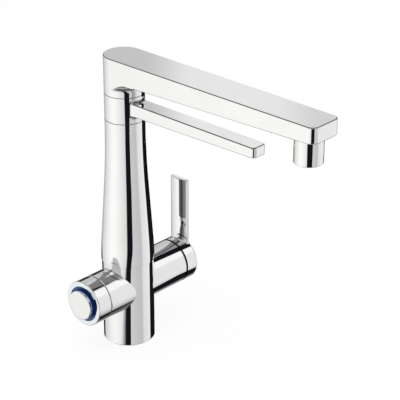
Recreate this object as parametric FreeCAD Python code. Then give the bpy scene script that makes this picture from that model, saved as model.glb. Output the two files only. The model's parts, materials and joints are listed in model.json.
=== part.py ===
"""Kitchen mixer tap with a second, slim spout for filtered water.

A round column stands on the worktop. Two short barrels cross it near the foot: a lever-handled
ceramic cartridge on +Y and a lit rotary knob with a push button on -Y. A flat main spout and a slim
filtered-water spout swivel on one core above the column, and both point along +X.
Frame: origin at the centre of the foot on the worktop, +Z up, +X along the spouts. Millimetres.
"""

import FreeCAD
import Part

import math
import os

Vec = FreeCAD.Vector
X_AXIS, Y_AXIS, Z_AXIS = Vec(1, 0, 0), Vec(0, 1, 0), Vec(0, 0, 1)

# Column and foot
FOOT_RADIUS = 25.05
FOOT_CHAMFER = 1.0
BODY_HEIGHT = 85.5
SLEEVE_FOOT_RADIUS = 25.7
SLEEVE_WALL = 2.2
SLEEVE_RIM = 5.0
SLEEVE_SPIGOT_HEIGHT = 4.5
SLEEVE_FOOT_GAP = 0.4
SHOULDER_CURVE_HEIGHT = 20.0
WAIST_CURVE_HEIGHT = 54.0
NECK_STRAIGHT = 10.0
NECK_RADIUS = 19.1

# Swivel stack
SEAM = 0.6
GLIDE_THICKNESS = 0.4
GLIDE_INSET = 0.5
FILTER_RING_HEIGHT = 25.2
CORE_RADIUS = 13.0
CORE_SHANK_RADIUS = 12.0
CORE_SHOULDER_RADIUS = 16.0
CORE_SHOULDER_HEIGHT = 6.0
CORE_SOCKET_DEPTH = 13.5
CORE_TOP_MARGIN = 2.0
MIXED_BORE_RADIUS = 5.5
MIXED_BORE_Y = 2.5
FILTER_BORE_RADIUS = 2.2
FILTER_BORE_Y = -8.0
RUNNING_GAP = 0.06
SEAT_GAP = 0.1
FREE_GAP = 0.3
SEAL_WIRE = 1.8
SEAL_SQUEEZE = 0.25
SEAL_GAP = 0.03
SEAL_ROUND = 0.3
SOCKET_SEAL_INSET = 2.7
RING_SEAL_INSET = 4.5
NECK_SEAL_RISE = 5.4
CLIP_ABOVE_SEAL = 3.6

# Main spout
SPOUT_TOP = 294.0
SPOUT_LENGTH = 239.0
SPOUT_TIP_HALF_WIDTH = 18.0
SPOUT_CORNER = 7.4
SPOUT_NECK_HEIGHT = 14.3
SPOUT_ROOT_DEPTH = 22.3
SPOUT_TIP_DEPTH = 15.2
SPOUT_UNDER_FLARE = 10.0
SPOUT_EDGE = 1.1
SPOUT_WALL = 3.0
SPOUT_CHANNEL_HALF_WIDTH = 11.0

# Outlet of the main spout
OUTLET_INSET = 19.0
OUTLET_RADIUS = 13.0
OUTLET_LENGTH = 25.5
OUTLET_WALL = 1.6
OUTLET_THREAD_RADIUS = 11.0
OUTLET_THREAD_LENGTH = 5.0
OUTLET_LIP = 1.2
AERATOR_HEIGHT = 12.0
AERATOR_WEB = 1.0
AERATOR_CELL_RADIUS = 1.5
AERATOR_CELL_PITCH = 3.9

# Filtered-water spout
SLIM_LENGTH = 166.0
SLIM_HALF_WIDTH = 8.4
SLIM_TOP_ABOVE_RING = 19.9
SLIM_ROOT_DEPTH = 12.6
SLIM_TIP_DEPTH = 9.9
SLIM_EDGE = 1.2
SLIM_TIP_CORNER = 3.6
SLIM_ROOT_FILLET = 4.0
SLIM_CHANNEL_RADIUS = 3.0
SLIM_OUTLET_INSET = 9.0
SLIM_INSERT_RADIUS = 4.5
SLIM_INSERT_HEIGHT = 4.0
SLIM_JET_RADIUS = 0.7
SLIM_JET_CIRCLE = 2.4
SLIM_JET_COUNT = 6

# Barrels
BARREL_BELOW_SLEEVE = 28.0
BARREL_RADIUS = 22.3
BARREL_EDGE = 0.4

# Mixer lever and its cartridge, along +Y
CAP_FROM_PIVOT = 20.0
CAP_LENGTH = 13.4
CAP_RIM = 1.3
CAP_END_ROUND = 1.2
DOME_GAP = 0.3
DOME_WALL = 2.0
DOME_MOUTH_RADIUS = 17.0
BOSS_RADIUS = 6.5
BOSS_LENGTH = 8.0
STEM_SIDE = 6.6
STEM_GAP = 0.1
STEM_BALL_RADIUS = 2.0
STEM_NECK_RADIUS = 1.4
STEM_BALL_GAP = 0.48
STEM_TOP_GAP = 1.0
BLADE_HALF_WIDTH = 11.2
BLADE_SIDE = 2.6
BLADE_CROWN = 3.2
BLADE_HEIGHT = 87.8
BLADE_CORNER = 2.4
BLADE_EDGE = 1.0
BLADE_ROOT_FILLET = 2.6
GRUB_RADIUS = 2.0
GRUB_LENGTH = 4.0
GRUB_KEY_RADIUS = 1.0
PLUG_RADIUS = 2.6
PLUG_DEPTH = 3.0
CARTRIDGE_SEAT_Y = 20.0
CARTRIDGE_RADIUS = 17.4
CARTRIDGE_WALL = 1.9
CARTRIDGE_BASE = 6.0
CARTRIDGE_LENGTH = 26.0
PIVOT_DEPTH = 4.9
DISC_THICKNESS = 3.0
FIXED_DISC_RADIUS = 15.3
MOVING_DISC_RADIUS = 11.5
DISC_LAP = 0.02
MIX_HOLLOW_RADIUS = 5.75
MIX_HOLLOW_DEPTH = 1.5
CARRIER_HEIGHT = 4.4
CARRIER_RADIUS = 12.0
ROTOR_START_GAP = 0.6
PIN_RADIUS = 1.6
PIN_HALF_LENGTH = 11.0
NUT_RADIUS = 19.6
NUT_BORE_RADIUS = 14.5
NUT_LENGTH = 8.0
PORT_RADIUS = 3.0
WAY_STEP = 0.4
WAY_RUNOUT = 1.2
PORT_DROP = 5.0
PORT_RISE = 8.0
PORT_SEAL_WALL = 1.2
PORT_SEAL_HEIGHT = 1.5

# Filter knob and its valve, along -Y
KNOB_START_Y = 44.4
KNOB_LENGTH = 15.8
KNOB_SKIRT_WALL = 2.3
KNOB_RIM_HEIGHT = 3.7
KNOB_RIM_RADIUS = 17.4
KNOB_FACE_ROUND = 1.0
KNOB_CORE_BACK = 1.6
LIGHT_RING_RECESS = 1.8
LIGHT_RING_BORE = 14.9
BUTTON_RADIUS = 14.5
BUTTON_PROUD = 5.0
BUTTON_WALL = 1.5
BUTTON_ROUND = 0.9
BUTTON_FLANGE_RADIUS = 16.1
BUTTON_FLANGE_HEIGHT = 1.2
BUTTON_STOP_GAP = 0.3
BUTTON_TRAVEL = 2.0
BUTTON_WELL_RADIUS = 16.4
BOARD_THICKNESS = 1.2
BOARD_BORE_RADIUS = 10.5
LED_COUNT = 6
LED_SIDE = 1.6
LED_HEIGHT = 0.5
LED_CIRCLE = 13.6
SPRING_RADIUS = 8.0
SPRING_WIRE_RADIUS = 0.5
SPRING_TURNS = 5
SPINDLE_RADIUS = 4.0
SPINDLE_FLAT = 3.0
SPINDLE_GRIP = 4.0
KNOB_SCREW_RADIUS = 1.5
KNOB_SCREW_LENGTH = 8.0
KNOB_SCREW_HEAD_RADIUS = 3.0
KNOB_SCREW_HEAD_HEIGHT = 2.0
KNOB_SCREW_SLOT = 1.0
HEADPART_SEAT_Y = 17.0
HEADPART_RADIUS = 10.0
HEADPART_WALL = 2.0
HEADPART_COLLAR_RADIUS = 14.0
HEADPART_COLLAR = 5.0
HEADPART_DISC_RADIUS = 7.6
HEADPART_DISC = 3.0
HEADPART_SEAL = 1.5
HEADPART_WINDOW_RADIUS = 2.5

# Ports under the foot
HOSE_THREAD_RADIUS = 4.5
HOSE_THREAD_DEPTH = 15.0
SUPPLY_X = 6.5
SUPPLY_Y = 9.5
FILTER_INLET_Y = -11.5
STUD_THREAD_RADIUS = 3.4
STUD_THREAD_DEPTH = 18.0
STUD_X = -13.0
FOOT_SEAL_RADIUS = 21.8

# Levels and places that follow from the sizes above
UNDER_ROOT = SPOUT_TOP - SPOUT_ROOT_DEPTH
SPOUT_BASE = UNDER_ROOT - SPOUT_NECK_HEIGHT
RING_TOP = SPOUT_BASE - SEAM
RING_BASE = RING_TOP - FILTER_RING_HEIGHT
COLUMN_TOP = RING_BASE - SEAM
SLEEVE_BASE = BODY_HEIGHT + SLEEVE_FOOT_GAP
SLIM_TOP = RING_BASE + SLIM_TOP_ABOVE_RING
SLIM_MID = SLIM_TOP - SLIM_TIP_DEPTH / 2
UNDER_TIP = SPOUT_TOP - SPOUT_TIP_DEPTH
UNDER_SLOPE = (UNDER_TIP - UNDER_ROOT) / SPOUT_LENGTH
CHANNEL_FLOOR_TIP = UNDER_TIP + SPOUT_WALL
OUTLET_X = SPOUT_LENGTH - OUTLET_INSET
CORE_TOP = UNDER_ROOT + SPOUT_WALL - CORE_TOP_MARGIN
CORE_SHOULDER_TOP = COLUMN_TOP - SLEEVE_RIM
CORE_FOOT = BODY_HEIGHT + SLEEVE_SPIGOT_HEIGHT - CORE_SOCKET_DEPTH
CORE_BORE_RADIUS = CORE_RADIUS + RUNNING_GAP
BARREL_Z = BODY_HEIGHT - BARREL_BELOW_SLEEVE
CARTRIDGE_END = CARTRIDGE_SEAT_Y + CARTRIDGE_LENGTH
LEVER_PIVOT_Y = CARTRIDGE_END - PIVOT_DEPTH
CAP_START_Y = LEVER_PIVOT_Y + CAP_FROM_PIVOT
CAP_END_Y = CAP_START_Y + CAP_LENGTH
CAVITY_RADIUS = math.hypot(BARREL_RADIUS - CAP_RIM, CAP_FROM_PIVOT)
DOME_RADIUS = CAVITY_RADIUS - DOME_GAP
LEVER_BARREL_END = LEVER_PIVOT_Y + math.sqrt(DOME_RADIUS**2 - BARREL_RADIUS**2)
FIXED_DISC_Y = CARTRIDGE_SEAT_Y + CARTRIDGE_BASE
MOVING_DISC_Y = FIXED_DISC_Y + DISC_THICKNESS + DISC_LAP
CARRIER_Y = MOVING_DISC_Y + DISC_THICKNESS
STEM_BALL_Y = CARRIER_Y + STEM_BALL_RADIUS + STEM_BALL_GAP
ROTOR_Y = CARRIER_Y + CARRIER_HEIGHT + ROTOR_START_GAP
ROTOR_RADIUS = CARTRIDGE_RADIUS - CARTRIDGE_WALL - RUNNING_GAP
BLADE_SIDE_Y = CAP_END_Y - BLADE_SIDE
BLADE_TOP = BARREL_Z + BLADE_HEIGHT
KNOB_BARREL_END = KNOB_START_Y - SEAM
KNOB_FACE_Y = KNOB_START_Y + KNOB_LENGTH
KNOB_RIM_BACK = KNOB_FACE_Y - KNOB_RIM_HEIGHT
KNOB_CORE_START = KNOB_START_Y + KNOB_CORE_BACK
KNOB_CORE_RADIUS = BARREL_RADIUS - KNOB_SKIRT_WALL
LIGHT_RING_FRONT = KNOB_FACE_Y - LIGHT_RING_RECESS
BUTTON_FLANGE_FRONT = KNOB_RIM_BACK - BUTTON_STOP_GAP
BUTTON_BACK = BUTTON_FLANGE_FRONT - BUTTON_FLANGE_HEIGHT
BOARD_FRONT = BUTTON_BACK - BUTTON_TRAVEL - BUTTON_STOP_GAP - LED_HEIGHT
BUTTON_WELL_FLOOR = BOARD_FRONT - BOARD_THICKNESS
BUTTON_FACE_Y = KNOB_FACE_Y + BUTTON_PROUD
SPINDLE_END = KNOB_CORE_START + SPINDLE_GRIP


def cyl_z(radius, z0, z1, x=0.0, y=0.0):
    """Upright round bar between two heights."""
    return Part.makeCylinder(radius, z1 - z0, Vec(x, y, z0), Z_AXIS)


def cyl_x(radius, x0, x1, y=0.0, z=0.0):
    """Round bar along X between two places."""
    return Part.makeCylinder(radius, x1 - x0, Vec(x0, y, z), X_AXIS)


def cyl_y(radius, y0, y1, x=0.0, z=BARREL_Z):
    """Round bar along Y, on the barrels' axis unless told otherwise."""
    low, high = min(y0, y1), max(y0, y1)
    return Part.makeCylinder(radius, high - low, Vec(x, low, z), Y_AXIS)


def tube_z(outer, inner, z0, z1, x=0.0, y=0.0):
    """Upright tube."""
    return cyl_z(outer, z0, z1, x, y).cut(cyl_z(inner, z0, z1, x, y))


def tube_y(outer, inner, y0, y1):
    """Tube on the barrels' axis."""
    return cyl_y(outer, y0, y1).cut(cyl_y(inner, y0, y1))


def box(x0, x1, y0, y1, z0, z1):
    """Block between two corners."""
    return Part.makeBox(x1 - x0, y1 - y0, z1 - z0, Vec(x0, y0, z0))


def prism(points, height, axis):
    """Straight-sided solid from a closed outline."""
    return Part.Face(Part.makePolygon(points + points[:1])).extrude(axis * height)


def lines(points):
    """Straight edges from point to point."""
    return [Part.LineSegment(a, b).toShape() for a, b in zip(points, points[1:])]


def join(first, *others):
    """One solid from pieces that overlap or share faces."""
    return first.fuse(list(others)).removeSplitter()


def edges_where(shape, test):
    """The edges whose ends and middle all pass a test."""

    def points(edge):
        middle = edge.valueAt((edge.FirstParameter + edge.LastParameter) / 2)
        return [v.Point for v in edge.Vertexes] + [middle]

    return [e for e in shape.Edges if all(test(p) for p in points(e))]


def near(value, target):
    """True where two lengths agree within modelling accuracy."""
    return abs(value - target) < 1e-4


def off_barrel_axis(point):
    """Distance of a point from the barrels' axis."""
    return math.hypot(point.x, point.z - BARREL_Z)


def off_column_axis(point):
    """Distance of a point from the column's axis."""
    return math.hypot(point.x, point.y)


# Foot, valve body and column


def supply_drillings():
    """Hot and cold ways from the hose threads up to the cartridge seat."""
    cuts = []
    for side in (-1, 1):
        x = side * SUPPLY_X
        level = BARREL_Z - PORT_DROP
        cuts.append(cyl_z(HOSE_THREAD_RADIUS, 0, HOSE_THREAD_DEPTH, x, SUPPLY_Y))
        cuts.append(cyl_z(PORT_RADIUS, 0, level + PORT_RADIUS + WAY_RUNOUT, x, SUPPLY_Y))
        cuts.append(cyl_y(PORT_RADIUS - WAY_STEP, SUPPLY_Y, CARTRIDGE_SEAT_Y, x, level))
    return cuts


def mixed_drillings():
    """Way from the cartridge seat to the core's socket."""
    level = BARREL_Z + PORT_RISE
    return [
        cyl_y(PORT_RADIUS - WAY_STEP, MIXED_BORE_Y, CARTRIDGE_SEAT_Y, 0, level),
        cyl_z(MIXED_BORE_RADIUS, level - PORT_RADIUS - WAY_RUNOUT, CORE_FOOT, 0, MIXED_BORE_Y),
    ]


def filter_drillings():
    """Way from the third hose thread through the filter valve to the core's side bore."""
    cross_way = CORE_FOOT + CORE_SOCKET_DEPTH / 2
    window_y = -(HEADPART_SEAT_Y + HEADPART_SEAL + HEADPART_DISC)
    return [
        cyl_z(HOSE_THREAD_RADIUS, 0, HOSE_THREAD_DEPTH, 0, FILTER_INLET_Y),
        cyl_z(PORT_RADIUS, 0, BARREL_Z + PORT_RADIUS + WAY_RUNOUT, 0, FILTER_INLET_Y),
        cyl_y(PORT_RADIUS - WAY_STEP, FILTER_INLET_Y, -HEADPART_SEAT_Y),
        cyl_z(FILTER_BORE_RADIUS, BARREL_Z, cross_way, 0, window_y),
        cyl_y(FILTER_BORE_RADIUS - WAY_STEP, window_y, FILTER_BORE_Y, 0, cross_way - FILTER_BORE_RADIUS),
    ]


def valve_body():
    """Cast foot with both barrels, the cartridge and valve chambers and all water ways."""
    foot = cyl_z(FOOT_RADIUS, 0, BODY_HEIGHT)
    foot = foot.makeChamfer(FOOT_CHAMFER, edges_where(foot, lambda p: near(p.z, 0)))
    barrel = cyl_y(BARREL_RADIUS, -KNOB_BARREL_END, LEVER_BARREL_END)
    barrel = barrel.makeChamfer(BARREL_EDGE, edges_where(barrel, lambda p: near(p.y, -KNOB_BARREL_END)))
    spigot_radius = SLEEVE_FOOT_RADIUS - SLEEVE_WALL - SEAT_GAP
    spigot = cyl_z(spigot_radius, BODY_HEIGHT, BODY_HEIGHT + SLEEVE_SPIGOT_HEIGHT)
    body = join(foot, barrel, spigot)
    cuts = [
        cyl_z(CORE_SHANK_RADIUS + SEAT_GAP, CORE_FOOT, BODY_HEIGHT + SLEEVE_SPIGOT_HEIGHT),
        cyl_y(CARTRIDGE_RADIUS + SEAT_GAP, CARTRIDGE_SEAT_Y, LEVER_BARREL_END),
        cyl_y(NUT_RADIUS + SEAT_GAP, CARTRIDGE_END, LEVER_BARREL_END),
        cyl_y(HEADPART_RADIUS + SEAT_GAP, -HEADPART_SEAT_Y, -KNOB_BARREL_END),
        cyl_y(HEADPART_COLLAR_RADIUS + SEAT_GAP, -(KNOB_BARREL_END - HEADPART_COLLAR), -KNOB_BARREL_END),
        cyl_z(STUD_THREAD_RADIUS, 0, STUD_THREAD_DEPTH, STUD_X, 0),
        foot_seal_ring(SEAL_WIRE / 2),
        *supply_drillings(),
        *mixed_drillings(),
        *filter_drillings(),
    ]
    return body.cut(cuts).removeSplitter()


def foot_seal_ring(half_width):
    """Ring under the foot, as high as the pressed seal."""
    return tube_z(FOOT_SEAL_RADIUS + half_width, FOOT_SEAL_RADIUS - half_width, 0, SEAL_WIRE - SEAL_SQUEEZE)


def foot_seal():
    """Ring that seals the foot to the worktop, flush when pressed."""
    ring = foot_seal_ring(SEAL_WIRE / 2 - SEAT_GAP)
    return ring.makeFillet(SEAL_ROUND, edges_where(ring, lambda p: not near(p.z, 0)))


def sleeve_outline(foot_radius, neck_radius, base, top):
    """Side line of the column as edges from foot to top: a rounded shoulder, a taper and a slim waist."""
    straight = top - NECK_STRAIGHT
    taper_height = straight - base - SHOULDER_CURVE_HEIGHT - WAIST_CURVE_HEIGHT
    drop = foot_radius - neck_radius
    span = SHOULDER_CURVE_HEIGHT + WAIST_CURVE_HEIGHT + 2 * taper_height
    half_tan = (math.sqrt(span**2 + 4 * drop**2) - span) / (2 * drop)
    taper = 2 * math.atan(half_tan)

    def at(radius, z):
        return Vec(radius, 0, z)

    shoulder_end = at(foot_radius - SHOULDER_CURVE_HEIGHT * half_tan, base + SHOULDER_CURVE_HEIGHT)
    waist_start = at(neck_radius + WAIST_CURVE_HEIGHT * half_tan, straight - WAIST_CURVE_HEIGHT)
    shoulder_bend = SHOULDER_CURVE_HEIGHT / math.sin(taper)
    waist_bend = WAIST_CURVE_HEIGHT / math.sin(taper)
    half_turn, half_rise = 1 - math.cos(taper / 2), math.sin(taper / 2)
    shoulder_mid = at(foot_radius - shoulder_bend * half_turn, base + shoulder_bend * half_rise)
    waist_mid = at(neck_radius + waist_bend * half_turn, straight - waist_bend * half_rise)
    return [
        Part.Arc(at(foot_radius, base), shoulder_mid, shoulder_end).toShape(),
        Part.LineSegment(shoulder_end, waist_start).toShape(),
        Part.Arc(waist_start, waist_mid, at(neck_radius, straight)).toShape(),
        Part.LineSegment(at(neck_radius, straight), at(neck_radius, top)).toShape(),
    ]


def column_sleeve():
    """Tapered outer shell of the column, hung on the core's shoulder by its top rim."""

    def turned(foot_radius, neck_radius, top):
        side = sleeve_outline(foot_radius, neck_radius, SLEEVE_BASE, top)
        axis_top, axis_low = Vec(0, 0, top), Vec(0, 0, SLEEVE_BASE)
        closing = lines([Vec(neck_radius, 0, top), axis_top, axis_low, Vec(foot_radius, 0, SLEEVE_BASE)])
        return Part.Face(Part.Wire(side + closing)).revolve(Vec(), Z_AXIS, 360)

    outside = turned(SLEEVE_FOOT_RADIUS, NECK_RADIUS, COLUMN_TOP)
    inside = turned(SLEEVE_FOOT_RADIUS - SLEEVE_WALL, NECK_RADIUS - SLEEVE_WALL, CORE_SHOULDER_TOP)
    mouth = cyl_z(CORE_RADIUS + SEAT_GAP, SLEEVE_BASE, COLUMN_TOP)
    return outside.cut([inside, mouth])


# Swivel core, seals and glide rings


def core_seal_levels():
    """Heights of the seals on the core: about the filter ring's port, and in the main spout's neck."""
    return [RING_BASE + RING_SEAL_INSET, RING_TOP - RING_SEAL_INSET], SPOUT_BASE + NECK_SEAL_RISE


def socket_seal_levels():
    """Heights of the two seals where the core sits in the valve body."""
    return [CORE_FOOT + SOCKET_SEAL_INSET, BODY_HEIGHT + SLEEVE_SPIGOT_HEIGHT - SOCKET_SEAL_INSET]


def seal_groove(radius, level):
    """Groove round a shaft for one seal."""
    floor = radius - SEAL_WIRE + SEAL_SQUEEZE
    return tube_z(radius + SEAL_WIRE, floor, level - SEAL_WIRE / 2, level + SEAL_WIRE / 2)


def shaft_seal(radius, level, gap):
    """Seal in such a groove, pressed flat against the bore round the shaft."""
    floor = radius - SEAL_WIRE + SEAL_SQUEEZE
    half = SEAL_WIRE / 2 - SEAT_GAP
    ring = tube_z(radius + gap - SEAL_GAP, floor + SEAL_GAP, level - half, level + half)
    return ring.makeFillet(SEAL_ROUND, ring.Edges)


def snap_groove_level():
    """Height of the clip that holds the main spout down."""
    return core_seal_levels()[1] + CLIP_ABOVE_SEAL


def swivel_core():
    """Fixed brass stem with a wide way for mixed water and a narrow one for filtered water."""
    shank = cyl_z(CORE_SHANK_RADIUS, CORE_FOOT, CORE_SHOULDER_TOP)
    shoulder = cyl_z(CORE_SHOULDER_RADIUS, CORE_SHOULDER_TOP - CORE_SHOULDER_HEIGHT, CORE_SHOULDER_TOP)
    journal = cyl_z(CORE_RADIUS, CORE_SHOULDER_TOP, CORE_TOP)
    core = join(shank, shoulder, journal)
    ring_seals, neck_seal = core_seal_levels()
    way = FILTER_BORE_RADIUS - WAY_STEP
    low_way = CORE_FOOT + CORE_SOCKET_DEPTH / 2 - FILTER_BORE_RADIUS
    cuts = [
        cyl_z(MIXED_BORE_RADIUS, CORE_FOOT, CORE_TOP, 0, MIXED_BORE_Y),
        cyl_z(FILTER_BORE_RADIUS, low_way - way - WAY_RUNOUT, SLIM_MID + way + WAY_RUNOUT, 0, FILTER_BORE_Y),
        cyl_y(way, -CORE_RADIUS, FILTER_BORE_Y, 0, low_way),
        cyl_y(way, -CORE_RADIUS - WAY_STEP, FILTER_BORE_Y, 0, SLIM_MID),
        *[seal_groove(CORE_RADIUS, level) for level in [*ring_seals, neck_seal]],
        *[seal_groove(CORE_SHANK_RADIUS, level) for level in socket_seal_levels()],
        seal_groove(CORE_RADIUS, snap_groove_level()),
    ]
    return core.cut(cuts)


def core_seals():
    """Two seals of the core in the valve body."""
    levels = socket_seal_levels()
    return Part.makeCompound([shaft_seal(CORE_SHANK_RADIUS, level, SEAT_GAP) for level in levels])


def ring_seals():
    """Two seals that keep filtered water to its own ring."""
    levels = core_seal_levels()[0]
    return Part.makeCompound([shaft_seal(CORE_RADIUS, level, RUNNING_GAP) for level in levels])


def spout_seal():
    """Seal of the main spout's neck."""
    return shaft_seal(CORE_RADIUS, core_seal_levels()[1], RUNNING_GAP)


def spout_clip():
    """Open spring ring in the core that stands into the neck's groove and keeps the spout from lifting."""
    level = snap_groove_level()
    half = SEAL_WIRE / 2 - SEAT_GAP
    floor = CORE_RADIUS - SEAL_WIRE + SEAL_SQUEEZE
    ring = tube_z(CORE_RADIUS + SEAL_WIRE / 2, floor + SEAL_GAP, level - half, level + half)
    mouth = box(-2 * CORE_RADIUS, 0, -SEAL_WIRE, SEAL_WIRE, level - SEAL_WIRE, level + SEAL_WIRE)
    return ring.cut(mouth)


def glide_ring(level):
    """Thin washer that carries a swivelling piece in the seam at a height."""
    return tube_z(NECK_RADIUS - GLIDE_INSET, CORE_RADIUS + SEAT_GAP, level, level + GLIDE_THICKNESS)


def lower_glide_ring():
    """Washer on top of the column, under the filtered-water ring."""
    return glide_ring(COLUMN_TOP)


def upper_glide_ring():
    """Washer between the filtered-water ring and the main spout."""
    return glide_ring(RING_TOP + (SEAM - GLIDE_THICKNESS) / 2)


# Main spout and its outlet


def spout_plan(length, root_half, tip_half, corner, base, height):
    """Flat bar with a round end on the column's axis, straight tapering sides and two rounded tip corners."""
    lean = math.asin((root_half - tip_half) / (length - corner))
    tangent_x, tangent_y = root_half * math.sin(lean), root_half * math.cos(lean)
    turn = corner * math.sqrt(0.5)

    def at(x, y):
        return Vec(x, y, base)

    def corner_arc(side):
        middle = at(length - corner + turn, side * (tip_half - corner + turn))
        return Part.Arc(at(length - corner, side * tip_half), middle, at(length, side * (tip_half - corner)))

    edges = [
        Part.Arc(at(tangent_x, tangent_y), at(-root_half, 0), at(tangent_x, -tangent_y)),
        Part.LineSegment(at(tangent_x, -tangent_y), at(length - corner, -tip_half)),
        corner_arc(-1),
        Part.LineSegment(at(length, -(tip_half - corner)), at(length, tip_half - corner)),
        corner_arc(1),
        Part.LineSegment(at(length - corner, tip_half), at(tangent_x, tangent_y)),
    ]
    outline = Part.Wire(Part.__sortEdges__([e.toShape() for e in edges]))
    return Part.Face(outline).extrude(Z_AXIS * height)


def under_spout(x):
    """Height of the main spout's sloping underside."""
    return UNDER_ROOT + UNDER_SLOPE * x


def above_slope(x0, x1, half_width, lift=0.0):
    """Everything above the spout's underside between two places along it."""
    roof = SPOUT_TOP + SPOUT_ROOT_DEPTH
    points = [
        Vec(x0, -half_width, under_spout(x0) + lift),
        Vec(x1, -half_width, under_spout(x1) + lift),
        Vec(x1, -half_width, roof),
        Vec(x0, -half_width, roof),
    ]
    return prism(points, 2 * half_width, Y_AXIS)


def spout_neck(plan):
    """Round neck that swells out into the underside of the bar, kept inside the bar's plan."""
    reach = NECK_RADIUS + SPOUT_UNDER_FLARE
    top = under_spout(reach)
    start = Vec(NECK_RADIUS, 0, top - SPOUT_UNDER_FLARE)
    turn = SPOUT_UNDER_FLARE * (1 - math.sqrt(0.5))
    swell = Part.Arc(start, Vec(NECK_RADIUS + turn, 0, top - turn), Vec(reach, 0, top)).toShape()
    axis_top, axis_low = Vec(0, 0, top), Vec(0, 0, SPOUT_BASE)
    corners = [Vec(reach, 0, top), axis_top, axis_low, Vec(NECK_RADIUS, 0, SPOUT_BASE), start]
    return Part.Face(Part.Wire([swell] + lines(corners))).revolve(Vec(), Z_AXIS, 360).common(plan)


def main_spout():
    """Hollow flat spout: bar, neck, water way and the threaded seat of the outlet."""
    margin = 2 * NECK_RADIUS
    height = SPOUT_TOP - SPOUT_BASE
    plan = spout_plan(SPOUT_LENGTH, NECK_RADIUS, SPOUT_TIP_HALF_WIDTH, SPOUT_CORNER, SPOUT_BASE, height)
    split = NECK_RADIUS + SPOUT_UNDER_FLARE + SPOUT_EDGE
    root = plan.common(above_slope(-margin, split, margin))
    arm = plan.common(above_slope(split, SPOUT_LENGTH + margin, margin))

    def on_underside(p):
        return near(p.z, under_spout(p.x)) and p.x > split - SPOUT_EDGE

    outline = [e for e in edges_where(arm, on_underside) if not lies_across(e, split)]
    arm = arm.makeFillet(SPOUT_EDGE, outline)
    bar = join(root, arm, spout_neck(plan))
    bar = bar.makeFillet(SPOUT_EDGE, edges_where(bar, lambda p: near(p.z, SPOUT_TOP)))
    channel = box(
        -CORE_RADIUS / 2,
        OUTLET_X + OUTLET_THREAD_RADIUS / 2,
        -SPOUT_CHANNEL_HALF_WIDTH,
        SPOUT_CHANNEL_HALF_WIDTH,
        UNDER_ROOT,
        SPOUT_TOP - SPOUT_WALL,
    )
    channel = channel.common(above_slope(-margin, SPOUT_LENGTH, margin, SPOUT_WALL))
    clip_level = snap_groove_level()
    thread_top = CHANNEL_FLOOR_TIP + OUTLET_THREAD_LENGTH
    cuts = [
        channel,
        cyl_z(CORE_BORE_RADIUS, SPOUT_BASE, UNDER_ROOT + 2 * SPOUT_WALL),
        tube_z(CORE_RADIUS + SEAL_WIRE, CORE_RADIUS, clip_level - SEAL_WIRE / 2, clip_level + SEAL_WIRE / 2),
        cyl_z(OUTLET_THREAD_RADIUS + SEAT_GAP, UNDER_ROOT, thread_top, OUTLET_X),
    ]
    return bar.cut(cuts)


def lies_across(edge, x):
    """True for an edge that lies across a bar at one place along it."""
    return all(near(v.Point.x, x) for v in edge.Vertexes)


def outlet_levels():
    """Lowest point of the outlet, and the seat of its flange under the spout."""
    seat = under_spout(OUTLET_X - OUTLET_RADIUS) - SEAT_GAP
    return seat - OUTLET_LENGTH + SPOUT_EDGE, seat


def aerator_housing():
    """Chromed sleeve screwed into the spout's tip, with an inward lip that holds the aerator."""
    low, seat = outlet_levels()
    collar = cyl_z(OUTLET_RADIUS, low, seat, OUTLET_X, 0)
    collar = collar.makeFillet(SPOUT_EDGE / 2, edges_where(collar, lambda p: near(p.z, low)))
    thread = cyl_z(OUTLET_THREAD_RADIUS, seat, seat + OUTLET_THREAD_LENGTH, OUTLET_X, 0)
    bore = OUTLET_THREAD_RADIUS - OUTLET_WALL
    cuts = [
        cyl_z(bore, low + OUTLET_LIP, seat + OUTLET_THREAD_LENGTH, OUTLET_X, 0),
        cyl_z(bore - OUTLET_LIP, low, low + OUTLET_LIP, OUTLET_X, 0),
    ]
    return join(collar, thread).cut(cuts)


def aerator_insert():
    """Honeycomb plug that breaks up and aerates the stream."""
    low = outlet_levels()[0] + OUTLET_LIP
    radius = OUTLET_THREAD_RADIUS - OUTLET_WALL - SEAT_GAP
    plug = cyl_z(radius, low, low + AERATOR_HEIGHT, OUTLET_X, 0)
    cell_top = low + AERATOR_HEIGHT - AERATOR_WEB
    reach = int(radius / AERATOR_CELL_PITCH) + 1
    cells = []
    for row in range(-reach, reach + 1):
        for column in range(-reach, reach + 1):
            x = (column + 0.5 * (row % 2)) * AERATOR_CELL_PITCH
            y = row * AERATOR_CELL_PITCH * math.sqrt(0.75)
            if math.hypot(x, y) + AERATOR_CELL_RADIUS < radius - OUTLET_LIP:
                cells.append(cyl_z(AERATOR_CELL_RADIUS, low, cell_top, OUTLET_X + x, y))
    return plug.cut(cells)


def aerator_seal():
    """Flat rubber ring on top of the aerator."""
    low = outlet_levels()[0] + OUTLET_LIP + AERATOR_HEIGHT
    outer = OUTLET_THREAD_RADIUS - OUTLET_WALL - SEAT_GAP
    return tube_z(outer, outer - 2 * OUTLET_LIP, low, low + SEAL_WIRE, OUTLET_X, 0)


# Filtered-water spout


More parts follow.
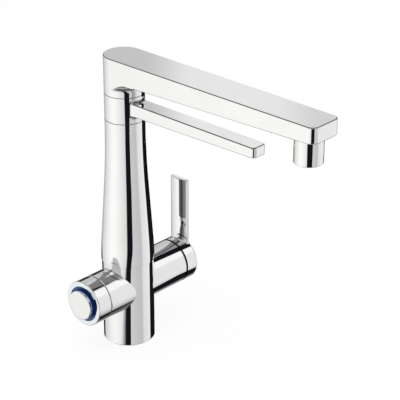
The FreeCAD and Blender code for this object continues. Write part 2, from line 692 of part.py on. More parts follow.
def slim_bar():
    """Slim tapering bar with softly rounded edges, starting inside its ring."""
    start = CORE_RADIUS
    root_low, tip_low = SLIM_TOP - SLIM_ROOT_DEPTH, SLIM_TOP - SLIM_TIP_DEPTH
    points = [
        Vec(start, -SLIM_HALF_WIDTH, root_low),
        Vec(SLIM_LENGTH, -SLIM_HALF_WIDTH, tip_low),
        Vec(SLIM_LENGTH, -SLIM_HALF_WIDTH, SLIM_TOP),
        Vec(start, -SLIM_HALF_WIDTH, SLIM_TOP),
    ]
    bar = prism(points, 2 * SLIM_HALF_WIDTH, Y_AXIS)
    upright = edges_where(bar, lambda p: near(p.x, SLIM_LENGTH) and near(abs(p.y), SLIM_HALF_WIDTH))
    bar = bar.makeFillet(SLIM_TIP_CORNER, upright)

    def is_rim(edge):
        low, high = sorted(v.Point.z for v in edge.Vertexes[:1] + edge.Vertexes[-1:])
        return high - low < SLIM_TIP_DEPTH / 2 and not lies_across(edge, start)

    return bar.makeFillet(SLIM_EDGE, [e for e in bar.Edges if is_rim(e)])


def filter_spout():
    """Swivel ring and slim bar in one casting, with its water way and outlet seat."""
    ring = cyl_z(NECK_RADIUS, RING_BASE, RING_TOP)
    body = ring.fuse(slim_bar())

    def on_ring(p):
        return near(off_column_axis(p), NECK_RADIUS) and RING_BASE + SLIM_EDGE < p.z < RING_TOP - SLIM_EDGE

    body = body.makeFillet(SLIM_ROOT_FILLET, edges_where(body, on_ring))
    outlet_x = SLIM_LENGTH - SLIM_OUTLET_INSET
    groove_low, groove_high = SLIM_MID - FILTER_BORE_RADIUS, SLIM_MID + FILTER_BORE_RADIUS
    cuts = [
        cyl_z(CORE_BORE_RADIUS, RING_BASE, RING_TOP),
        tube_z(CORE_RADIUS + SEAL_WIRE, CORE_RADIUS, groove_low, groove_high),
        cyl_x(SLIM_CHANNEL_RADIUS, CORE_RADIUS, outlet_x, 0, SLIM_MID),
        cyl_z(SLIM_INSERT_RADIUS + SEAT_GAP, RING_BASE, slim_insert_low() + SLIM_INSERT_HEIGHT, outlet_x),
        cyl_z(SLIM_CHANNEL_RADIUS, RING_BASE, SLIM_MID, outlet_x),
    ]
    return body.cut(cuts)


def slim_insert_low():
    """Lowest point of the slim spout's outlet insert, just inside the underside."""
    share = (SLIM_LENGTH - SLIM_OUTLET_INSET + SLIM_INSERT_RADIUS) / SLIM_LENGTH
    depth = SLIM_ROOT_DEPTH + (SLIM_TIP_DEPTH - SLIM_ROOT_DEPTH) * share
    return SLIM_TOP - depth


def flow_insert():
    """Jet plate that makes the filtered stream clear and even."""
    x = SLIM_LENGTH - SLIM_OUTLET_INSET
    low = slim_insert_low()
    top = low + SLIM_INSERT_HEIGHT
    plug = cyl_z(SLIM_INSERT_RADIUS, low, top, x)
    jets = [cyl_z(SLIM_JET_RADIUS, low, top, x)]
    for index in range(SLIM_JET_COUNT):
        angle = 2 * math.pi * index / SLIM_JET_COUNT
        jet_x, jet_y = SLIM_JET_CIRCLE * math.cos(angle), SLIM_JET_CIRCLE * math.sin(angle)
        jets.append(cyl_z(SLIM_JET_RADIUS, low, top, x + jet_x, jet_y))
    return plug.cut(jets)


# Mixer cartridge


def port_places():
    """Places of the hot, cold and mixed ports across the cartridge's seat, as (x, z)."""
    low, high = BARREL_Z - PORT_DROP, BARREL_Z + PORT_RISE
    return [(-SUPPLY_X, low), (SUPPLY_X, low), (0.0, high)]


def port_holes(y0, y1, radius=PORT_RADIUS):
    """One hole per port between two places along the barrel."""
    return [cyl_y(radius, y0, y1, x, z) for x, z in port_places()]


def cartridge_base():
    """Floor of the cartridge with its three ports and the recesses of their seals."""
    floor = cyl_y(CARTRIDGE_RADIUS, CARTRIDGE_SEAT_Y, FIXED_DISC_Y)
    recess = port_holes(CARTRIDGE_SEAT_Y, CARTRIDGE_SEAT_Y + PORT_SEAL_HEIGHT, PORT_RADIUS + PORT_SEAL_WALL)
    return floor.cut([*port_holes(CARTRIDGE_SEAT_Y, FIXED_DISC_Y), *recess])


def port_seals():
    """Rubber rings that seal the three ports to the valve body."""
    end = CARTRIDGE_SEAT_Y + PORT_SEAL_HEIGHT
    outer = port_holes(CARTRIDGE_SEAT_Y, end, PORT_RADIUS + PORT_SEAL_WALL - SEAT_GAP)
    inner = port_holes(CARTRIDGE_SEAT_Y, end)
    return Part.makeCompound([a.cut(b) for a, b in zip(outer, inner)])


def fixed_disc():
    """Ceramic disc that stays on the cartridge's floor."""
    disc = cyl_y(FIXED_DISC_RADIUS, FIXED_DISC_Y, FIXED_DISC_Y + DISC_THICKNESS)
    return disc.cut(port_holes(FIXED_DISC_Y, FIXED_DISC_Y + DISC_THICKNESS))


def cartridge_housing():
    """Plastic shell of the cartridge."""
    return tube_y(CARTRIDGE_RADIUS, CARTRIDGE_RADIUS - CARTRIDGE_WALL, FIXED_DISC_Y, CARTRIDGE_END)


def moving_disc():
    """Ceramic disc that slides over the fixed one, with the mixing hollow in its face."""
    disc = cyl_y(MOVING_DISC_RADIUS, MOVING_DISC_Y, MOVING_DISC_Y + DISC_THICKNESS)
    return disc.cut(cyl_y(MIX_HOLLOW_RADIUS, MOVING_DISC_Y, MOVING_DISC_Y + MIX_HOLLOW_DEPTH))


def disc_carrier():
    """Slider on the moving disc, with the socket of the stem's ball."""
    top = CARRIER_Y + CARRIER_HEIGHT
    block = cyl_y(CARRIER_RADIUS, CARRIER_Y, top)
    half = STEM_BALL_RADIUS + RUNNING_GAP
    swing = half + FREE_GAP
    return block.cut(box(-half, half, CARRIER_Y, top, BARREL_Z - swing, BARREL_Z + swing))


def cartridge_rotor():
    """Turning guide that carries the stem's pin, slotted for the stem to swing."""
    guide = cyl_y(ROTOR_RADIUS, ROTOR_Y, CARTRIDGE_END)
    half = STEM_SIDE / 2 + SEAT_GAP
    swing = ROTOR_RADIUS - CARTRIDGE_WALL
    slot = box(-half, half, ROTOR_Y, CARTRIDGE_END, BARREL_Z - swing, BARREL_Z + swing)
    return guide.cut([slot, pin_bar(PIN_RADIUS)])


def pin_bar(radius):
    """Bar along the axis that the lever's stem swings about."""
    return cyl_x(radius, -PIN_HALF_LENGTH, PIN_HALF_LENGTH, LEVER_PIVOT_Y, BARREL_Z)


def stem_pin():
    """Steel pin that the lever's stem swings on."""
    return pin_bar(PIN_RADIUS)


def stem_end():
    """Outer end of the stem, just short of the socket's floor in the lever."""
    return LEVER_PIVOT_Y + CAVITY_RADIUS - STEM_TOP_GAP


def lever_stem():
    """Square bar from the carrier's ball to the lever, pierced by the pin."""
    half = STEM_SIDE / 2
    bar = box(-half, half, LEVER_PIVOT_Y - half, stem_end(), BARREL_Z - half, BARREL_Z + half)
    arm = cyl_y(STEM_NECK_RADIUS, STEM_BALL_Y, LEVER_PIVOT_Y)
    ball = Part.makeSphere(STEM_BALL_RADIUS, Vec(0, STEM_BALL_Y, BARREL_Z))
    return join(bar, arm, ball).cut(pin_bar(PIN_RADIUS + RUNNING_GAP))


def cartridge_nut():
    """Threaded ring that presses the cartridge onto its seat."""
    ring = tube_y(NUT_RADIUS, NUT_BORE_RADIUS, CARTRIDGE_END, CARTRIDGE_END + NUT_LENGTH)
    return ring.makeChamfer(BARREL_EDGE, edges_where(ring, lambda p: near(off_barrel_axis(p), NUT_RADIUS)))


def dome_ring():
    """Ball-shaped cover over the nut that the lever's cap glides round."""
    pivot = Vec(0, LEVER_PIVOT_Y, BARREL_Z)
    start = CARTRIDGE_END + NUT_LENGTH
    ring = tube_y(NUT_RADIUS, DOME_MOUTH_RADIUS, start, LEVER_PIVOT_Y + DOME_RADIUS)
    ring = ring.common(Part.makeSphere(DOME_RADIUS, pivot))
    return ring.cut(cyl_y(NUT_RADIUS - DOME_WALL, start, LEVER_BARREL_END))


# Mixer lever


def lever_cap():
    """Cap turned to the barrel's diameter, with a rounded end."""
    cap = cyl_y(BARREL_RADIUS, CAP_START_Y, CAP_END_Y)
    return cap.makeFillet(CAP_END_ROUND, edges_where(cap, lambda p: near(p.y, CAP_END_Y)))


def lever_blade():
    """Upright blade with a crowned front, its back flush with the cap's end face."""

    def at(x, y):
        return Vec(x, y, BARREL_Z)

    corners = [
        at(BLADE_HALF_WIDTH, BLADE_SIDE_Y),
        at(BLADE_HALF_WIDTH, CAP_END_Y),
        at(-BLADE_HALF_WIDTH, CAP_END_Y),
        at(-BLADE_HALF_WIDTH, BLADE_SIDE_Y),
    ]
    front = Part.Arc(corners[-1], at(0, BLADE_SIDE_Y - BLADE_CROWN), corners[0]).toShape()
    blade = Part.Face(Part.Wire(lines(corners) + [front])).extrude(Z_AXIS * BLADE_HEIGHT)
    top_ends = edges_where(blade, lambda p: near(p.z, BLADE_TOP) and near(abs(p.x), BLADE_HALF_WIDTH))
    blade = blade.makeFillet(BLADE_CORNER, top_ends)

    def is_rim(edge):
        on_back = [near(v.Point.y, CAP_END_Y) for v in edge.Vertexes]
        above_axis = any(v.Point.z > BLADE_TOP - BLADE_HEIGHT / 2 for v in edge.Vertexes)
        return above_axis and (all(on_back) or not any(on_back))

    return blade.makeFillet(BLADE_EDGE, [e for e in blade.Edges if is_rim(e)])


def mixer_lever():
    """Cap and blade in one casting, hollowed to a ball about the pivot, with a boss that grips the stem."""
    cap = join(lever_cap(), lever_blade())

    def at_blade_root(p):
        on_cap = near(off_barrel_axis(p), BARREL_RADIUS)
        return on_cap and CAP_START_Y + BLADE_ROOT_FILLET < p.y < BLADE_SIDE_Y and p.z > BARREL_Z

    cap = cap.makeFillet(BLADE_ROOT_FILLET, edges_where(cap, at_blade_root))
    pivot = Vec(0, LEVER_PIVOT_Y, BARREL_Z)
    pole = LEVER_PIVOT_Y + CAVITY_RADIUS
    hollow = Part.makeSphere(CAVITY_RADIUS, pivot).cut(cyl_y(BOSS_RADIUS, pole - BOSS_LENGTH, pole))
    half = STEM_SIDE / 2 + STEM_GAP
    socket = box(-half, half, pole - BOSS_LENGTH, pole, BARREL_Z - half, BARREL_Z + half)
    screw_y = pole - BOSS_LENGTH / 2
    cap_low = BARREL_Z - BARREL_RADIUS
    screw_way = cyl_z(GRUB_RADIUS + RUNNING_GAP, cap_low, BARREL_Z, 0, screw_y)
    plug_way = cyl_z(PLUG_RADIUS, cap_low - PLUG_DEPTH, cap_low + PLUG_DEPTH, 0, screw_y)
    return cap.cut([hollow, socket, screw_way, plug_way])


def lever_grub_screw():
    """Socket set screw that clamps the lever to its stem."""
    y = LEVER_PIVOT_Y + CAVITY_RADIUS - BOSS_LENGTH / 2
    top = BARREL_Z - STEM_SIDE / 2
    screw = cyl_z(GRUB_RADIUS, top - GRUB_LENGTH, top, 0, y)
    return screw.cut(hex_hole(GRUB_KEY_RADIUS, top - GRUB_LENGTH, top - GRUB_LENGTH / 2, y))


def hex_hole(radius, z0, z1, y):
    """Six-sided key recess below the lever's stem."""
    angles = [k * math.pi / 3 for k in range(6)]
    corners = [Vec(radius * math.cos(a), y + radius * math.sin(a), z0) for a in angles]
    return prism(corners, z1 - z0, Z_AXIS)


def lever_screw_plug():
    """Small plug that closes the screw's way in the cap, level with its surface."""
    y = LEVER_PIVOT_Y + CAVITY_RADIUS - BOSS_LENGTH / 2
    top = BARREL_Z - BARREL_RADIUS + PLUG_DEPTH
    plug = cyl_z(PLUG_RADIUS - RUNNING_GAP, BARREL_Z - BARREL_RADIUS, top, 0, y)
    return plug.common(cyl_y(BARREL_RADIUS, CAP_START_Y, CAP_END_Y))


# Filter valve


def headpart_disc_levels():
    """Start of the fixed disc and of the turning disc in the filter valve, along -Y."""
    fixed = HEADPART_SEAT_Y + HEADPART_SEAL
    return fixed, fixed + HEADPART_DISC + DISC_LAP


def headpart_body():
    """Brass valve insert with a wide collar, side windows and a bore for the spindle."""
    end = KNOB_BARREL_END
    tube = cyl_y(HEADPART_RADIUS, -(HEADPART_SEAT_Y + HEADPART_SEAL), -end)
    collar = cyl_y(HEADPART_COLLAR_RADIUS, -(end - HEADPART_COLLAR), -end)
    disc_end = headpart_disc_levels()[1] + HEADPART_DISC + FREE_GAP
    window_y = -(HEADPART_SEAT_Y + HEADPART_SEAL + HEADPART_DISC)
    cuts = [
        cyl_y(HEADPART_DISC_RADIUS + RUNNING_GAP, -HEADPART_SEAT_Y, -disc_end),
        cyl_y(SPINDLE_RADIUS + RUNNING_GAP, -disc_end, -end),
        cyl_z(HEADPART_WINDOW_RADIUS, BARREL_Z, BARREL_Z + 2 * HEADPART_RADIUS, 0, window_y),
    ]
    return join(tube, collar).cut(cuts)


def headpart_seal():
    """Rubber ring between the filter valve and its seat."""
    return tube_y(HEADPART_RADIUS, PORT_RADIUS, -HEADPART_SEAT_Y, -(HEADPART_SEAT_Y + HEADPART_SEAL))


def half_disc_hole(y0, y1):
    """Half-moon way of a quarter-turn ceramic disc."""
    hole = cyl_y(HEADPART_DISC_RADIUS - HEADPART_WALL, y0, y1)
    reach = HEADPART_RADIUS
    half = box(0, reach, min(y0, y1), max(y0, y1), BARREL_Z - reach, BARREL_Z + reach)
    return hole.common(half)


def headpart_fixed_disc():
    """Ceramic disc fixed in the filter valve."""
    start = headpart_disc_levels()[0]
    disc = cyl_y(HEADPART_DISC_RADIUS, -start, -(start + HEADPART_DISC))
    return disc.cut(half_disc_hole(-start, -(start + HEADPART_DISC)))


def headpart_turning_disc():
    """Ceramic disc that turns with the spindle."""
    start = headpart_disc_levels()[1]
    disc = cyl_y(HEADPART_DISC_RADIUS, -start, -(start + HEADPART_DISC))
    return disc.cut(half_disc_hole(-start, -(start + HEADPART_DISC)))


def filter_spindle():
    """Brass spindle from the turning disc to the knob, flatted where the knob grips it."""
    start = headpart_disc_levels()[1] + HEADPART_DISC
    spindle = cyl_y(SPINDLE_RADIUS, -start, -SPINDLE_END)
    screw_way = cyl_y(KNOB_SCREW_RADIUS, -(SPINDLE_END - KNOB_SCREW_LENGTH), -SPINDLE_END)
    return spindle.cut([beyond_flat(SPINDLE_FLAT), screw_way])


def beyond_flat(offset):
    """Block above the spindle's flat, over the length that the knob grips."""
    reach = 2 * SPINDLE_RADIUS
    return box(-reach, reach, -SPINDLE_END, -KNOB_CORE_START, BARREL_Z + offset, BARREL_Z + reach)


# Filter knob and push button


def knob_sleeve():
    """Chromed turning sleeve with an inward rim round the light ring."""
    sleeve = cyl_y(BARREL_RADIUS, -KNOB_START_Y, -KNOB_FACE_Y)
    sleeve = sleeve.makeFillet(KNOB_FACE_ROUND, edges_where(sleeve, lambda p: near(p.y, -KNOB_FACE_Y)))
    sleeve = sleeve.makeChamfer(BARREL_EDGE, edges_where(sleeve, lambda p: near(p.y, -KNOB_START_Y)))
    cuts = [
        cyl_y(KNOB_CORE_RADIUS, -KNOB_START_Y, -KNOB_RIM_BACK),
        cyl_y(KNOB_RIM_RADIUS, -KNOB_START_Y, -KNOB_FACE_Y),
    ]
    sleeve = sleeve.cut(cuts)

    def at_rim_mouth(p):
        return near(off_barrel_axis(p), KNOB_RIM_RADIUS) and near(p.y, -KNOB_FACE_Y)

    return sleeve.makeFillet(KNOB_FACE_ROUND / 2, edges_where(sleeve, at_rim_mouth))


def knob_core():
    """Plastic insert that grips the spindle and holds the light ring, the board and the button."""
    core = cyl_y(KNOB_CORE_RADIUS - SEAT_GAP, -KNOB_CORE_START, -KNOB_RIM_BACK)
    grip = cyl_y(SPINDLE_RADIUS + RUNNING_GAP, -KNOB_CORE_START, -SPINDLE_END)
    grip = grip.cut(beyond_flat(SPINDLE_FLAT + RUNNING_GAP))
    well = cyl_y(BUTTON_WELL_RADIUS, -BUTTON_WELL_FLOOR, -KNOB_RIM_BACK)
    screw_way = cyl_y(KNOB_SCREW_RADIUS + SEAT_GAP, -KNOB_CORE_START, -KNOB_RIM_BACK)
    return core.cut([grip, well, screw_way])


def knob_screw():
    """Screw through the knob's insert into the spindle, with a slotted head."""
    head_base = max(BUTTON_WELL_FLOOR, SPINDLE_END)
    head_front = head_base + KNOB_SCREW_HEAD_HEIGHT
    point = SPINDLE_END - KNOB_SCREW_LENGTH + FREE_GAP
    shank = cyl_y(KNOB_SCREW_RADIUS - RUNNING_GAP, -point, -head_base)
    head = cyl_y(KNOB_SCREW_HEAD_RADIUS, -head_base, -head_front)
    reach, half = KNOB_SCREW_HEAD_RADIUS, KNOB_SCREW_SLOT / 2
    slot_floor = head_front - KNOB_SCREW_HEAD_HEIGHT / 2
    slot = box(-reach, reach, -head_front, -slot_floor, BARREL_Z - half, BARREL_Z + half)
    return join(shank, head).cut(slot)


def light_ring():
    """Blue light guide, set back behind the knob's rim and round the button."""
    return tube_y(KNOB_RIM_RADIUS - RUNNING_GAP, LIGHT_RING_BORE, -KNOB_RIM_BACK, -LIGHT_RING_FRONT)


def led_board():
    """Ring-shaped circuit board on the floor of the knob's well."""
    return tube_y(BUTTON_WELL_RADIUS - SEAT_GAP, BOARD_BORE_RADIUS, -BUTTON_WELL_FLOOR, -BOARD_FRONT)


def led_chips():
    """Light chips on the board, evenly spaced behind the light ring."""
    half = LED_SIDE / 2
    level = BARREL_Z + LED_CIRCLE
    chip = box(-half, half, -(BOARD_FRONT + LED_HEIGHT), -BOARD_FRONT, level - half, level + half)
    chips = []
    for index in range(LED_COUNT):
        copy = chip.copy()
        copy.rotate(Vec(0, 0, BARREL_Z), Y_AXIS, 360 * index / LED_COUNT)
        chips.append(copy)
    return Part.makeCompound(chips)


def push_button():
    """Hollow button with a rounded face and a flange behind that stops it under the light ring."""
    skirt = cyl_y(BUTTON_RADIUS, -BUTTON_BACK, -BUTTON_FACE_Y)
    skirt = skirt.makeFillet(BUTTON_ROUND, edges_where(skirt, lambda p: near(p.y, -BUTTON_FACE_Y)))
    flange = cyl_y(BUTTON_FLANGE_RADIUS, -BUTTON_BACK, -BUTTON_FLANGE_FRONT)
    inside = cyl_y(BUTTON_RADIUS - BUTTON_WALL, -BUTTON_BACK, -(BUTTON_FACE_Y - BUTTON_WALL))
    return join(skirt, flange).cut(inside)


def button_spring():
    """Coil spring that returns the button, standing on the knob's insert inside the board."""
    low = BUTTON_WELL_FLOOR + SPRING_WIRE_RADIUS
    high = BUTTON_FACE_Y - BUTTON_WALL - SPRING_WIRE_RADIUS
    pitch = (high - low) / SPRING_TURNS
    spine = Part.makeHelix(pitch, high - low, SPRING_RADIUS)
    start = Vec(SPRING_RADIUS, 0, 0)
    section = Part.Wire(Part.makeCircle(SPRING_WIRE_RADIUS, start, Y_AXIS))
    coil = Part.Wire(spine.Edges).makePipeShell([section], True, True)
    coil.rotate(Vec(), X_AXIS, 90)
    coil.translate(Vec(0, -low, BARREL_Z))
    return coil


PIECES = [
    valve_body,
    foot_seal,
    column_sleeve,
    swivel_core,
    core_seals,
    ring_seals,
    spout_seal,
    spout_clip,
    lower_glide_ring,
    upper_glide_ring,
    main_spout,
    aerator_housing,
    aerator_insert,
    aerator_seal,
    filter_spout,
    flow_insert,
    cartridge_base,
    port_seals,
    fixed_disc,
    cartridge_housing,
    moving_disc,
    disc_carrier,
    cartridge_rotor,
    stem_pin,
    lever_stem,
    cartridge_nut,
    dome_ring,
    mixer_lever,
    lever_grub_screw,
    lever_screw_plug,
    headpart_body,
    headpart_seal,
    headpart_fixed_disc,
    headpart_turning_disc,
    filter_spindle,
    knob_sleeve,
    knob_core,
    knob_screw,
    light_ring,
    led_board,
    led_chips,
    push_button,
    button_spring,
]


def main():
    """Writes one STEP file per piece, named after it."""
    os.makedirs("parts", exist_ok=True)
    for make in PIECES:
        shape = make()
        print(f"{make.__name__}: {len(shape.Solids)} solids, {shape.Volume:.1f} mm3, valid {shape.isValid()}")
        shape.exportStep(f"parts/{make.__name__}.step")


main()
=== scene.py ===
import json
import math

import bpy
from mathutils import Matrix, Vector


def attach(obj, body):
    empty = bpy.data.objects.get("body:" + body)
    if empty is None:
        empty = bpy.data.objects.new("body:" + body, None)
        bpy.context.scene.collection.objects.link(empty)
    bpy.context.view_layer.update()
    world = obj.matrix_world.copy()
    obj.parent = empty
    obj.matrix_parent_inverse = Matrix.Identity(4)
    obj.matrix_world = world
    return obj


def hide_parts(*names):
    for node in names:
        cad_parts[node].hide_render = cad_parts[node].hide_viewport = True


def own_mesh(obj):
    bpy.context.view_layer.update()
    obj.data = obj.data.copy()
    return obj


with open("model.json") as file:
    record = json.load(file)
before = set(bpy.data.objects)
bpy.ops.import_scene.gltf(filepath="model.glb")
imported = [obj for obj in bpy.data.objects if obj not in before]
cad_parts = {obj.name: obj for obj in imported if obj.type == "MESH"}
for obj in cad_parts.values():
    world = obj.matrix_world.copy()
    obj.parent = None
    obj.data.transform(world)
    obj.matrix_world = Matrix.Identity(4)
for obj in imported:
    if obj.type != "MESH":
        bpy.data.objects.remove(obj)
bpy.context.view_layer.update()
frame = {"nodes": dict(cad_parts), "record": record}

nodes = frame["nodes"]
scene = bpy.context.scene

# Camera at the photograph's viewing angle
CAMERA_AZIMUTH = math.radians(42.985)
CAMERA_ELEVATION = math.radians(25.60)
CAMERA_PLACE = Vector((1.01827, -0.99032, 0.82558))
CAMERA_LENS = 148.9
CAMERA_SENSOR = 36.0
CAMERA_NEAR, CAMERA_FAR = 0.05, 40.0


def make_camera():
    """Camera that looks the way the photograph does, with the tap in the same place in the frame."""
    data = bpy.data.cameras.new("camera")
    data.sensor_width = CAMERA_SENSOR
    data.lens = CAMERA_LENS
    data.clip_start = CAMERA_NEAR
    data.clip_end = CAMERA_FAR
    camera = bpy.data.objects.new("camera", data)
    scene.collection.objects.link(camera)
    sin_a, cos_a = math.sin(CAMERA_AZIMUTH), math.cos(CAMERA_AZIMUTH)
    sin_e, cos_e = math.sin(CAMERA_ELEVATION), math.cos(CAMERA_ELEVATION)
    back = Vector((sin_a * cos_e, -cos_a * cos_e, sin_e))
    right = Vector((cos_a, sin_a, 0.0))
    up = back.cross(right)
    turn = Matrix((right, up, back)).transposed().to_4x4()
    camera.matrix_world = Matrix.Translation(CAMERA_PLACE) @ turn
    scene.camera = camera


# Colour sockets of a mix node, which has others of the same name
MIX_FIRST, MIX_SECOND, MIX_RESULT = 6, 7, 2

# Values of a noise between which a finish goes from one limit to the other
GRAIN_SPAN = (0.3, 0.7)


class Graph:
    """Short hand for building one node tree."""

    def __init__(self, tree):
        self.tree = tree
        tree.nodes.clear()

    def add(self, kind, **settings):
        """New node; settings give its properties by name."""
        node = self.tree.nodes.new(kind)
        for key, value in settings.items():
            setattr(node, key, value)
        return node

    def link(self, source, target):
        """Links an output socket to an input socket."""
        self.tree.links.new(source, target)

    def feed(self, socket, value):
        """Sets a socket to a number or colour, or links another socket to it."""
        if isinstance(value, bpy.types.NodeSocket):
            self.link(value, socket)
        else:
            socket.default_value = value

    def math(self, operation, first, second=0.0, third=0.0):
        """One arithmetic node."""
        node = self.add("ShaderNodeMath", operation=operation)
        for socket, value in zip(node.inputs, (first, second, third)):
            self.feed(socket, value)
        return node.outputs[0]

    def fade(self, value, start, end, low=0.0, high=1.0):
        """Smooth step of a value between two limits."""
        node = self.add("ShaderNodeMapRange", interpolation_type="SMOOTHSTEP")
        names = ("Value", "From Min", "From Max", "To Min", "To Max")
        for name, entry in zip(names, (value, start, end, low, high)):
            self.feed(node.inputs[name], entry)
        return node.outputs["Result"]

    def ramp(self, value, stops):
        """Colour ramp from (place, colour) pairs."""
        node = self.add("ShaderNodeValToRGB")
        self.feed(node.inputs[0], value)
        elements = node.color_ramp.elements
        while len(elements) > 1:
            elements.remove(elements[-1])
        elements[0].position = stops[0][0]
        elements[0].color = (*stops[0][1], 1.0)
        for place, colour in stops[1:]:
            elements.new(place).color = (*colour, 1.0)
        return node.outputs["Color"]

    def mix(self, factor, first, second):
        """Blend of two colours."""
        node = self.add("ShaderNodeMix", data_type="RGBA")
        self.feed(node.inputs["Factor"], factor)
        self.feed(node.inputs[MIX_FIRST], first)
        self.feed(node.inputs[MIX_SECOND], second)
        return node.outputs[MIX_RESULT]

    def noise(self, scale, place=None, detail=None):
        """Value of a noise at a place, or over the object's own box."""
        node = self.add("ShaderNodeTexNoise")
        node.inputs["Scale"].default_value = scale
        if place is not None:
            self.link(place, node.inputs["Vector"])
        if detail is not None:
            node.inputs["Detail"].default_value = detail
        return node.outputs["Fac"]

    def split(self, vector):
        """The x, y and z sockets of a vector."""
        node = self.add("ShaderNodeSeparateXYZ")
        self.link(vector, node.inputs[0])
        return node.outputs

    def blend(self, share, first, second):
        """Shader node that mixes two others."""
        node = self.add("ShaderNodeMixShader")
        self.link(share, node.inputs[0])
        self.link(first.outputs[0], node.inputs[1])
        self.link(second.outputs[0], node.inputs[2])
        return node

    def surface(self, shader):
        """Links a shader to the material's output."""
        output = self.add("ShaderNodeOutputMaterial")
        self.link(shader.outputs[0], output.inputs["Surface"])


# Walls of the studio as polished metal sees them: degrees to the right of the camera's side, and level.
WALLS = [
    (-180, 0.60),
    (-165, 0.50),
    (-144, 0.50),
    (-137, 0.70),
    (-120, 0.80),
    (-105, 0.91),
    (-86, 1.03),
    (-68, 1.08),
    (-45, 1.00),
    (-12, 0.80),
    (24, 0.66),
    (60, 0.58),
    (72, 0.84),
    (95, 0.88),
    (104, 0.94),
    (160, 0.66),
    (172, 0.66),
    (180, 0.60),
]

# Panels in front of the walls: middle and half width in degrees to the right of the camera's side,
# lower and upper edge in degrees above the horizon, softness of the edges and level.
PANELS = [
    (0, 200, -95, -40, 16, 0.42),
    (20, 90, -80, -47, 2, 0.14),
    (0, 200, 49, 95, 3, 0.24),
    (0, 200, 67, 95, 3, 0.80),
    (-42, 36, -13, 40, 4, 0.58),
    (-105, 32, 29, 60, 3, 0.26),
    (92, 13, 25, 47, 2, 1.03),
    (175.5, 2.8, 8, 29, 1.0, 0.87),
    (169, 4.5, 8, 29, 1.3, 0.70),
    (-166, 8, -10, 12, 1, 0.01),
    (-177.5, 4, -27, 2, 1, 0.12),
    (-164, 24, -60, -26.5, 2, 0.02),
    (176, 14, -55, -34, 4, 0.78),
    (157, 9, -70, -34, 5, 0.38),
    (141, 11, -70, -34, 4, 0.12),
    (124, 13, -70, -34, 1.5, 0.005),
]

# What the camera sees behind the tap, and the light that falls on matt surfaces
BACKDROP = (1.0, 1.0, 1.0, 1.0)
FILL_LIGHT = (0.92, 0.92, 0.92, 1.0)


# Tints of the walls, cream and lavender: the bearings between which each shows, and its colour
WALL_TINTS = [(-110, -30, (1.0, 1.0, 0.975)), (0, 60, (0.99, 0.985, 1.015))]


def wall_colour(bearing, level):
    """Wall colour: a trace of cream on the camera's left, of lavender just to its right."""
    for start, end, tint in WALL_TINTS:
        if start < bearing < end:
            return tuple(share * level for share in tint)
    return level, level, level


def make_world():
    """White studio: plain white to the eye, and a room of pale walls and dark panels for polished metal."""
    world = bpy.data.worlds.new("studio")
    scene.world = world
    world.use_nodes = True
    g = Graph(world.node_tree)
    x, y, z = g.split(g.add("ShaderNodeTexCoord").outputs["Generated"])
    camera_side = math.degrees(math.atan2(CAMERA_PLACE.y, CAMERA_PLACE.x))
    bearing = g.math("SUBTRACT", g.math("DEGREES", g.math("ARCTAN2", y, x)), camera_side)
    bearing = g.math("WRAP", bearing, 180.0, -180.0)
    height = g.math("DEGREES", g.math("ARCSINE", z))
    place = g.math("MULTIPLY_ADD", bearing, 1.0 / 360.0, 0.5)
    room = g.ramp(place, [((d + 180.0) / 360.0, wall_colour(d, level)) for d, level in WALLS])
    for middle, half, low, high, soft, level in PANELS:
        off = g.math("ABSOLUTE", g.math("WRAP", g.math("SUBTRACT", bearing, middle), 180.0, -180.0))
        cover = g.fade(off, half - soft, half + soft, 1.0, 0.0)
        cover = g.math("MULTIPLY", cover, g.fade(height, low - soft, low + soft))
        cover = g.math("MULTIPLY", cover, g.fade(height, high - soft, high + soft, 1.0, 0.0))
        room = g.mix(cover, room, (level, level, level, 1.0))
    path = g.add("ShaderNodeLightPath")
    shown = g.mix(path.outputs["Is Glossy Ray"], FILL_LIGHT, room)
    shown = g.mix(path.outputs["Is Camera Ray"], shown, BACKDROP)
    background = g.add("ShaderNodeBackground")
    g.link(shown, background.inputs["Color"])
    output = g.add("ShaderNodeOutputWorld")
    g.link(background.outputs[0], output.inputs["Surface"])


def new_material(name):
    """Empty node material and its graph."""
    material = bpy.data.materials.new(name)
    material.use_nodes = True
    return material, Graph(material.node_tree)


def stage_panel(name, corners, faces, material):
    """Stage object from its corners and faces."""
    mesh = bpy.data.meshes.new(name)
    mesh.from_pydata([tuple(c) for c in corners], [], faces)
    panel = bpy.data.objects.new(name, mesh)
    panel.data.materials.append(material)
    scene.collection.objects.link(panel)
    return panel


# Floor: half its width, its tones, and the share of plain white that the camera sees in it
FLOOR_HALF = 6.0
FLOOR_GRAIN = 40.0
FLOOR_TONES = [(0.3, (0.90, 0.90, 0.90)), (0.7, (0.93, 0.93, 0.93))]
FLOOR_GLOW = 0.88


def make_floor():
    """Pale floor that runs out white and keeps a faint shadow."""
    material, g = new_material("floor_white")
    matt = g.add("ShaderNodeBsdfDiffuse")
    g.link(g.ramp(g.noise(FLOOR_GRAIN), FLOOR_TONES), matt.inputs["Color"])
    glow = g.add("ShaderNodeEmission")
    path = g.add("ShaderNodeLightPath")
    share = g.math("MULTIPLY", path.outputs["Is Camera Ray"], FLOOR_GLOW)
    g.surface(g.blend(share, matt, glow))
    half = FLOOR_HALF
    corners = [(-half, -half, 0), (half, -half, 0), (half, half, 0), (-half, half, 0)]
    floor = stage_panel("floor", corners, [(0, 1, 2, 3)], material)
    floor.visible_glossy = False


